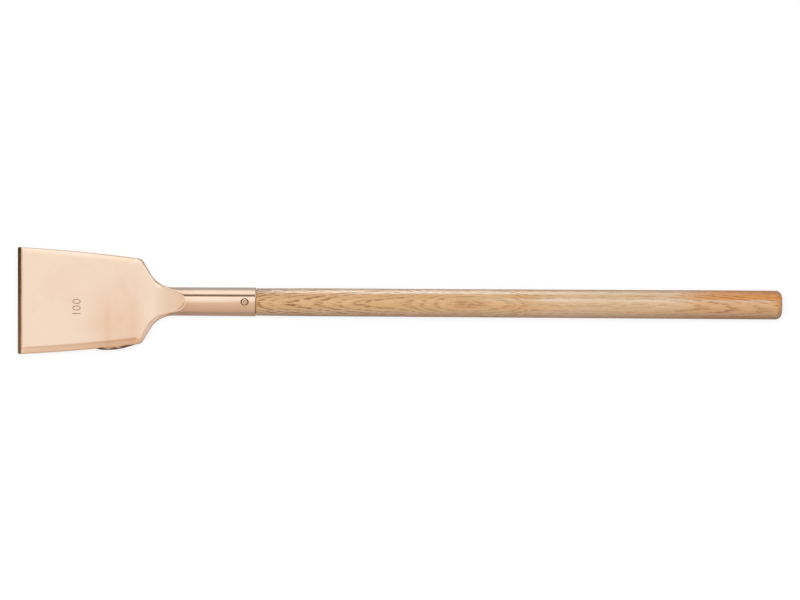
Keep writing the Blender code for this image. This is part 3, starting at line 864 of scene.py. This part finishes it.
# Grinds the bevel from the back's cutting edge up, and then eases its crest in narrow steps
def grindBevel(head, face):
    shape = headShape
    middleX = edgeX + shape["edgeSkew"] * shape["bladeWidth"] / 2
    low = Vector((middleX, 0, axisZ - shape["backHeights"][0] + shape["cuttingEdge"]))
    top = Vector((middleX + shape["bevelLength"], 0, axisZ + heightOn(face, shape["bevelLength"])))
    slope = math.atan2(top.z - low.z, top.x - low.x)

    def outwardAt(angle):
        return Vector((-math.sin(angle), -math.sin(angle) * shape["edgeSkew"], math.cos(angle))).normalized()

    found = grind(head, low, outwardAt(slope), groundSlot)
    reach = shape["bevelRound"] * math.tan(slope / 2)
    start = top - Vector((math.cos(slope), 0, math.sin(slope))) * reach
    centre = start - outwardAt(slope) * shape["bevelRound"]
    for step in range(1, shape["bevelSteps"]):
        angle = slope * (1 - step / shape["bevelSteps"])
        found += grind(head, centre + outwardAt(angle) * shape["bevelRound"], outwardAt(angle),
                       groundSlot if angle > slope * shape["bevelPaint"] else bronzeSlot)

    # Splits the long ground strips across, so that they shade evenly.
    def isLongStrip(one):
        spread = [vert.co.y for vert in one.verts]
        return one.calc_center_median().x < edgeX + shape["bevelZone"] \
            and max(spread) - min(spread) > 2 * shape["bevelCell"]
    pick(head, isLongStrip)
    bpy.ops.mesh.hide(unselected=True)
    for index in range(1, round(shape["bladeWidth"] / shape["bevelCell"])):
        bpy.ops.mesh.select_all(action='SELECT')
        cutY = shape["bevelCell"] * index - shape["bladeWidth"] / 2
        bpy.ops.mesh.bisect(plane_co=(0, cutY, 0), plane_no=(0, 1, 0), threshold=tolerance["onPlane"])
    bpy.ops.mesh.reveal(select=False)
    print("bevel ground at %.1f degrees, %d faces" % (math.degrees(slope), found))
    return low, outwardAt(slope)


# Insets the mouth's face and draws it in to make the blind bore. Its lip is painted dark, as shade at the
# seam with the handle.
def boreSocket(head):
    shape = headShape
    editPiece(head, 'FACE')
    found = pick(head, lambda one: liesIn(one, mouthCentre, rearward))
    mouthRadius = socketRadius - shape["socketLip"]
    boreMouth = shape["boreRadius"] + shape["boreChamfer"]
    bpy.ops.mesh.inset(thickness=mouthRadius - boreMouth)
    drawAlong([(0, boreMouth), (shape["boreChamfer"], shape["boreRadius"]),
               (shape["boreDepth"], shape["boreRadius"]),
               (shape["boreDepth"] + shape["drillPoint"], tolerance["tip"])], mouthCentre, -rearward)

    def isLip(one):
        middle = one.calc_center_median()
        return one.normal.x > shape["lipFacing"] and middle.x > mouthX - shape["socketLip"] \
            and (middle - mouthCentre).yz.length > mouthRadius
    # The lip is painted dark as shade at the seam with the handle.
    lips = pick(head, isLip)
    paintPicked(head, stampedAndShadeSlot)
    print("socket bored: %d face, lip of %d faces" % (found, lips))


gateStub = {
    # Its corners, behind the cutting edge. The crest is between the middle two.
    "cornersX": (0.0728, 0.0775, 0.0935, 0.1125),
    "height": 0.0015, "rootDepth": 0.006, "footDepth": 0.0003, "thickness": 0.0022,
    "frontRound": 0.0035, "rearRound": 0.0075, "roundSteps": 12,
    "edgeRound": 0.0026, "edgeSteps": 8, "edgeReach": 0.001, "cornerReach": 0.0003,
    "flattening": 0.4, "flatFacing": 0.995, "spare": 0.003,
}


# Ground-off stub of the casting gate on the blade's side: a block ground down on three sides and rounded
def makeGateStub(plan):
    stub = gateStub
    frontX, crestX, _, rearX = stub["cornersX"]
    reach = heightOn(plan, crestX) + stub["height"]
    root = stub["rootDepth"] - heightOn(plan, rearX)
    outer = -reach - stub["spare"]
    deselectAll()
    bpy.ops.mesh.primitive_cube_add(size=1)
    piece = nameNew("gateStub")
    piece.scale = (rearX - frontX, root - outer, stub["thickness"] / stub["flattening"])
    piece.location = (edgeX + (frontX + rearX) / 2, (root + outer) / 2, axisZ)
    applyPlace(piece)
    frontY, rearY = [stub["footDepth"] - heightOn(plan, x) for x in (frontX, rearX)]
    cornersY = (frontY, -reach, -reach, rearY)
    corners = [Vector((edgeX + x, y, axisZ)) for x, y in zip(stub["cornersX"], cornersY)]
    for before, after in zip(corners, corners[1:]):
        run = (after - before).normalized()
        grind(piece, before, Vector((run.y, -run.x, 0)), 0)
    editPiece(piece, 'EDGE', 'DESELECT')
    for corner, size in ((corners[1], stub["frontRound"]), (corners[2], stub["rearRound"])):
        pick(piece, lambda one: all((vert.co - corner).xy.length < stub["cornerReach"] for vert in one.verts),
             'edges')
        bpy.ops.mesh.bevel(offset=size, segments=stub["roundSteps"], affect='EDGES')

    def isOuterEdge(one):
        outside = min(vert.co.y + heightOn(plan, vert.co.x - edgeX) for vert in one.verts)
        return abs(one.verts[0].co.z - one.verts[1].co.z) < tolerance["level"] and outside < stub["edgeReach"]
    pick(piece, isOuterEdge, 'edges')
    bpy.ops.mesh.bevel(offset=stub["edgeRound"], segments=stub["edgeSteps"], affect='EDGES')
    bpy.ops.mesh.select_all(action='SELECT')
    bpy.ops.transform.resize(value=(1, 1, stub["flattening"]), center_override=(0, 0, axisZ))
    giveMaterials(piece, "castPatina", "groundBevel")
    bpy.ops.mesh.select_mode(type='FACE')
    pick(piece, lambda one: abs(one.normal.z) > stub["flatFacing"])   # its two flats are polished too
    paintPicked(piece, 1)
    return piece


sizeNumber = {
    "digits": "100", "height": 0.0079, "depth": 0.00028, "thin": -0.012, "narrow": 0.96,
    "kerning": (-2.2, 4.9),                      # after the first digit and after the second
    "baseline": 0.0591, "startY": -0.0145,       # behind the cutting edge, and across from the middle line
    "digitShare": 0.7,                           # height of a digit as a share of the font's size
    "curveSteps": 8, "weld": 0.000002,
}


# Plain size number, as a solid that is cut out of the face. It reads up the blade.
def makeNumber(face):
    number = sizeNumber
    top = axisZ + heightOn(face, number["baseline"] - number["height"] / 2)
    deselectAll()
    bpy.ops.object.text_add(location=(0, 0, 0))
    words = bpy.context.object
    font = words.data
    font.body = number["digits"]
    font.size = number["height"] / number["digitShare"]
    font.offset = number["thin"] * number["height"]
    font.extrude = number["depth"] * 2
    font.resolution_u = number["curveSteps"]
    for letter, kerning in zip(font.body_format, number["kerning"]):
        letter.kerning = kerning
    words.scale = (number["narrow"], 1, 1)
    words.rotation_euler = (0, 0, math.radians(90))
    words.location = (edgeX + number["baseline"], number["startY"], top + number["depth"])
    makeActive(words)
    bpy.ops.object.convert(target='MESH')
    piece = nameNew("sizeNumber")
    applyPlace(piece)
    weld(piece, number["weld"])
    giveMaterials(piece, "stampedAndShadedBronze")
    return piece


pinHole = {"radius": 0.003, "chamfer": 0.0008, "spare": 0.002, "sides": 64, "weld": 0.000001}


# Cross hole for the pin, with a chamfer painted dark as shade where it breaks through the socket.
def makePinCutter():
    surface = socketRadiusAt(pinX - edgeX)
    profile = [(surface - pinHole["chamfer"], pinHole["radius"]),
               (surface + pinHole["spare"], pinHole["radius"] + pinHole["chamfer"] + pinHole["spare"])]
    return turnOnAxis("pinCutter", profile, pinHole, pinCentre, upward, "grooveShade")


# Handle: turned shaft with its tenon in the socket

handleShape = {
    "tenonRadius": 0.00995, "tenonChamfer": 0.0015,
    "neckStep": 0.0008, "neckChamfer": 0.0005,
    # How much thicker the shaft is than its neck, by share of its length
    "swells": ((0.1, 0.00035), (0.57, 0.00057), (0.86, 0.00075)), "blendRadius": 0.5,
    "endRadius": 0.0064, "endDome": 0.0011, "endFlatShare": 0.5, "endTip": 0.0004,
    "seat": 0.0003, "sides": 160, "arcSteps": 16, "longestStep": 0.008,
    "weld": 0.000002, "creaseAngle": math.radians(35),
}


def makeHandle():
    shape = handleShape
    neck = socketRadius - shape["neckStep"]
    rear = neck + shape["swells"][-1][1]
    start = mouthX + shape["seat"]
    length = buttX - start
    tenon = start - handleLow.x
    shaft = roundedPath([
        (0, neck - shape["neckChamfer"], 0),
        (shape["neckChamfer"], neck, 0),
        *[(length * share, neck + swell, shape["blendRadius"]) for share, swell in shape["swells"]],
        (length - shape["endDome"], rear, shape["endRadius"]),
        (length, rear * shape["endFlatShare"], shape["endRadius"]),
        (length, shape["endTip"], 0),
    ], shape["arcSteps"])
    filled = [shaft[0]]
    for before, point in zip(shaft, shaft[1:]):
        pieces = max(1, math.ceil((point - before).length / shape["longestStep"]))
        filled += [before.lerp(point, (index + 1) / pieces) for index in range(pieces)]
    profile = [(-tenon, shape["tenonRadius"] - shape["tenonChamfer"]),
               (shape["tenonChamfer"] - tenon, shape["tenonRadius"]), (0, shape["tenonRadius"])]
    profile += [(point.x, point.y) for point in filled]
    return turnOnAxis("woodHandle", profile, shape, Vector((start, 0, axisZ)), rearward, "oiledHardwood")


# Fixing pin: its two ends are ground flush and keep a centre mark

pinShape = {
    "endRound": 0.0003, "roundSteps": 5, "markRadius": 0.0013, "markWidth": 0.00055, "markDepth": 0.0003,
    "markSlope": 0.00005, "dimpleRadius": 0.0005, "dimpleDepth": 0.0002, "sides": 72, "weld": 0.000001,
}


def makePin():
    shape = pinShape
    half = (pinHigh.z - pinLow.z) / 2
    endRound, slope = shape["endRound"], shape["markSlope"]
    markOut = shape["markRadius"] + shape["markWidth"] / 2
    markIn = shape["markRadius"] - shape["markWidth"] / 2
    markFloor = half - shape["markDepth"]
    rounded = roundedPath([(half - 2 * endRound, pinRadius, 0), (half, pinRadius, endRound),
                           (half, markOut, 0)], shape["roundSteps"])
    profile = [(point.x, point.y) for point in rounded]
    profile += [(markFloor, markOut - slope), (markFloor, markIn + slope), (half, markIn),
                (half, shape["dimpleRadius"]), (half - shape["dimpleDepth"], tolerance["tip"])]
    pin = turnOnAxis("fixingPin", profile, shape, pinCentre, upward, "pinBronze", "grooveShade")
    editPiece(pin, 'FACE')

    def isMark(one):
        middle = one.calc_center_median() - pinCentre
        return markIn - 2 * slope < middle.xy.length < markOut \
            and half - 2 * shape["markDepth"] < abs(middle.z) < half - slope
    # The mark's groove is painted dark as shade.
    found = pick(pin, isMark)
    paintPicked(pin, 1)
    deselectAll()
    print("pin marked: %d faces" % found)
    return pin


# Studio: a pale floor, a soft lamp, and cards that only reflections see

studio = {
    "floorSize": 14.0, "floorColour": (0.3, 0.3, 0.3, 1.0), "floorGlow": 0.75,
    "worldLight": 0.37, "worldSeen": 1.0,
    "lampPlace": Vector((0.0, 0.15, 2.0)), "lampAim": Vector((0.0, 0.0, 0.013)), "lampSize": (2.4, 1.2),
    "lampPower": 32.0,
}

# Cards along X: on the +Y side (1) or the -Y side (-1), between two angles from straight up at which the
# tool's top mirrors them, from one X to another, at a distance, with the colours at the first angle and at
# the last
wholeLength, overBlade, behindBlade = (-2.2, 2.2), (-2.2, -0.27), (-0.27, 2.2)
wallCards = {
    "softboxCard": (1, (-1.5, 10), wholeLength, 1.6, (1.0, 1.0, 1.0), (1.03, 1.02, 1.01)),
    "softboxWideCard": (1, (10, 31), behindBlade, 1.6, (1.03, 1.02, 1.01), (1.12, 1.1, 1.07)),
    "softboxRimCard": (1, (31, 40), behindBlade, 1.6, (1.12, 1.1, 1.07), (1.3, 1.28, 1.25)),
    "softboxBladeCard": (1, (10, 40), overBlade, 1.6, (1.03, 1.02, 1.01), (1.3, 1.35, 1.4)),
    "gapBorderCard": (1, (40, 44.5), wholeLength, 1.5, (0.75, 0.64, 0.53), (0.26, 0.21, 0.16)),
    "darkStripCard": (1, (44.5, 60), wholeLength, 1.5, (0.22, 0.18, 0.12), (0.16, 0.125, 0.08)),
    "brightSideCard": (1, (70, 89), wholeLength, 1.5, (1.12, 1.12, 1.12), (1.12, 1.12, 1.12)),
    # The warm side begins just over the middle of the socket, and over the blade a little later.
    "warmSideCardTop": (-1, (-4.5, 2.5), (-0.2, 2.2), 1.5, (0.8, 0.69, 0.585), (0.8, 0.69, 0.585)),
    "warmSideCardNear": (-1, (2.5, 45), behindBlade, 1.6, (0.8, 0.69, 0.585), (0.71, 0.575, 0.475)),
    "warmSideCardBlade": (-1, (8, 45), overBlade, 1.6, (0.88, 0.75, 0.67), (0.64, 0.49, 0.34)),
    "warmSideCardLow": (-1, (45, 90.6), wholeLength, 1.6, (0.71, 0.575, 0.475), (0.59, 0.45, 0.39)),
}

# Warm end of the room, which the ramp mirrors: before a place on X, between two angles from straight up
warmEnd = {
    "x": -0.21, "angles": (20, 61), "distance": 1.2, "halfWidth": 1.2,
    "colours": ((0.97, 0.95, 0.93), (0.86, 0.77, 0.67)),
}

# Other cards: one corner, the way across from it, the way along, and the colours at its start and at its end
dark, light, shade = (0.035, 0.022, 0.012), (0.21, 0.19, 0.17), (0.3, 0.26, 0.22)
plainCards = {
    # Shaded floor beside the tool, as its sides mirror it
    "floorCardFront": ((-1, -1.7, 0.0008), (2, 0, 0), (0, 1.688, 0), (0.5, 0.42, 0.37), (0.42, 0.35, 0.31)),
    "floorCardBack": ((-1, 0.012, 0.0008), (2, 0, 0), (0, 0.074, 0), (0.45, 0.44, 0.44), (0.6, 0.6, 0.62)),
    # Low strip light beside the handle, strongest near the socket
    "handleStripFront": ((-0.115, 0.06, 0.002), (0, 0.19, 0.048), (0.245, 0, 0), (9, 9, 9), (6.2, 6.2, 6.2)),
    "handleStripRear": ((0.13, 0.06, 0.002), (0, 0.19, 0.048), (0.21, 0, 0),
                        (5.5, 5.5, 5.5), (1.9, 1.9, 1.9)),
    # Keeps that light off the head, and darkens the upper outline of its neck
    "headShadeCard": ((-0.125, 0.03, 0.001), (0, 0.57, 0), (0, 0, 0.119), shade, shade),
    # Dark wall and floor before the cutting edge, which the bevel mirrors
    "darkEndBack": ((-0.54, 1.2, 0.001), (-0.02, 0, 0.089), (0, -1.15, 0), dark, dark),
    "darkEndMiddle": ((-0.54, 0.05, 0.001), (-0.02, 0, 0.089), (0, -0.1, 0), dark, light),
    "darkEndFront": ((-0.54, -0.05, 0.001), (-0.02, 0, 0.089), (0, -1.15, 0), light, light),
    "floorCardEdge": ((-0.54, 0.07, 0.0012), (0.1825, 0, 0), (0, -0.14, 0), dark, light),
}


# 1 for what the camera sees, also by way of a reflection or glass
def seenInPicture(tree):
    light = addNode(tree, 'ShaderNodeLightPath').outputs
    return math2('MAXIMUM', light["Is Camera Ray"],
                 math2('MAXIMUM', light["Is Glossy Ray"], light["Is Transmission Ray"]))


def makeFloor():
    bpy.ops.mesh.primitive_plane_add(size=studio["floorSize"], location=(0, 0, 0))
    floor = nameNew("paleFloor")
    tree, shader = newMaterial("paleFloor")
    tree.nodes.remove(shader)
    lit = addNode(tree, 'ShaderNodeBsdfDiffuse', {"Color": studio["floorColour"]})
    strength = product(seenInPicture(tree), studio["floorGlow"])
    glow = addNode(tree, 'ShaderNodeEmission', {"Color": (1, 1, 1, 1), "Strength": strength})
    both = addNode(tree, 'ShaderNodeAddShader', {0: lit.outputs[0], 1: glow.outputs[0]})
    tree.links.new(both.outputs[0], tree.nodes["Material Output"].inputs["Surface"])
    giveMaterials(floor, "paleFloor")


def makeWorld():
    world = bpy.data.worlds.new("paleRoom")
    bpy.context.scene.world = world
    world.use_nodes = True
    tree = world.node_tree
    strength = scaled(seenInPicture(tree), studio["worldSeen"] - studio["worldLight"], studio["worldLight"])
    setInputs(tree.nodes["Background"], {"Color": (1, 1, 1, 1), "Strength": strength})


# Flat card from a corner across and along, seen only in reflections. Its colour runs along it.
def makeCard(name, corner, across, along, firstColour, lastColour):
    deselectAll()
    bpy.ops.mesh.primitive_plane_add(size=1)
    card = nameNew(name)
    for index, vert in enumerate(card.data.vertices):     # a plane's vertices go row by row
        vert.co = Vector(corner) + Vector(across) * (index % 2) + Vector(along) * (index // 2)
    tree, shader = newMaterial(name)
    tree.nodes.remove(shader)
    lengthwise = splitXyz(addNode(tree, 'ShaderNodeTexCoord').outputs["UV"])["Y"]
    colour = blend(lengthwise, (*firstColour, 1.0), (*lastColour, 1.0))
    glow = addNode(tree, 'ShaderNodeEmission', {"Color": colour})
    tree.links.new(glow.outputs[0], tree.nodes["Material Output"].inputs["Surface"])
    giveMaterials(card, name)
    for ray in ("camera", "diffuse", "transmission", "volume_scatter", "shadow"):
        setattr(card, "visible_" + ray, False)


# Places round the tool at angles from straight up, toward a side
def onArc(angles, outward, distance):
    return [(outward * math.sin(math.radians(angle)) + upward * math.cos(math.radians(angle))) * distance
            for angle in angles]


def makeCards():
    for name, (side, angles, span, distance, *colours) in wallCards.items():
        first, last = onArc(angles, Vector((0, side, 0)), distance)
        makeCard(name, first + rearward * span[0], rearward * (span[1] - span[0]), last - first, *colours)
    first, last = onArc(warmEnd["angles"], -rearward, warmEnd["distance"])
    makeCard("warmEndCard", first + Vector((warmEnd["x"], -warmEnd["halfWidth"], 0)),
             (0, 2 * warmEnd["halfWidth"], 0), last - first, *warmEnd["colours"])
    for name, values in plainCards.items():
        makeCard(name, *values)
    print("studio: %d cards" % (len(wallCards) + 1 + len(plainCards)))


def makeLamp():
    place, aim = studio["lampPlace"], studio["lampAim"]
    bpy.ops.object.light_add(type='AREA', location=place)
    lamp = bpy.context.object
    lamp.name = "topSoftbox"
    lamp.data.shape = 'RECTANGLE'
    lamp.data.size, lamp.data.size_y = studio["lampSize"]
    lamp.data.energy = studio["lampPower"]
    lamp.rotation_euler = (aim - place).to_track_quat('-Z', 'Y').to_euler()
    lamp.visible_camera = False
    lamp.visible_glossy = False


# Building

deselectAll()
makeCamera()
wearGroup = makeWearGroup()
makeBronze(wearGroup)
makePatina(wearGroup)
for name in plainMetals:
    makePlainMetal(name, wearGroup)
makeWood()
print("finishes: %d materials" % len(bpy.data.materials))

for piece, node, slotName in ((makeHead(), "scraper_head", "head_bronze"),
                              (makeHandle(), "handle", "handle_wood"),
                              (makePin(), "fixing_pin", "pin_bronze")):
    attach(piece, "root")
    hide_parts(node)

makeFloor()
makeWorld()
makeCards()
makeLamp()
bpy.context.scene.view_settings.view_transform = 'Standard'
